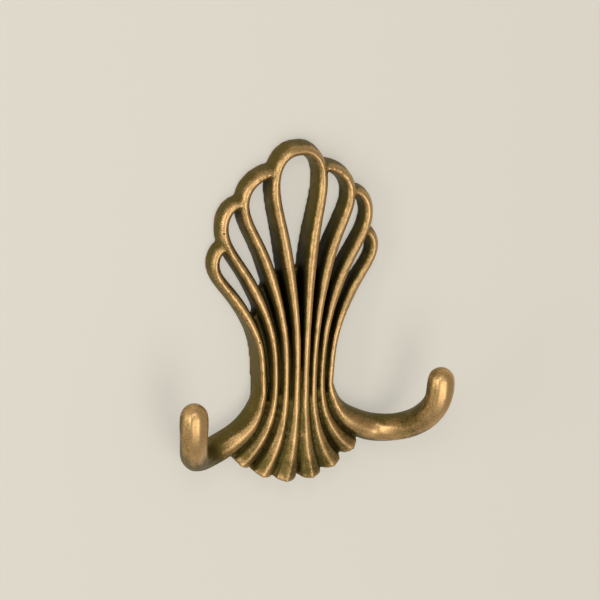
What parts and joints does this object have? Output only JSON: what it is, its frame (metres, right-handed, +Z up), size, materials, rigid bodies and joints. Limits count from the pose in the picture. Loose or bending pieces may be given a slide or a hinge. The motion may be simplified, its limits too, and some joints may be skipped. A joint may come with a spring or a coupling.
{
  "type": "furniture hook",
  "caption": "Cast double furniture hook in antique bronze, with a pierced fan of loops, a fluted waist, a scalloped foot and upturned prongs.",
  "frame": {"origin": "on the flat back, half way between the tapped holes", "axes": "+Z up the hook towards the fan of loops, +Y out of the back into the wall, so -Y looks out at the viewer"},
  "size_m": [0.0872, 0.027, 0.103],
  "materials": {
    "hook_casting": "antique"
  },
  "bodies": {
    "root": {"hook_casting": "hook_casting"}
  },
  "joints": []
}
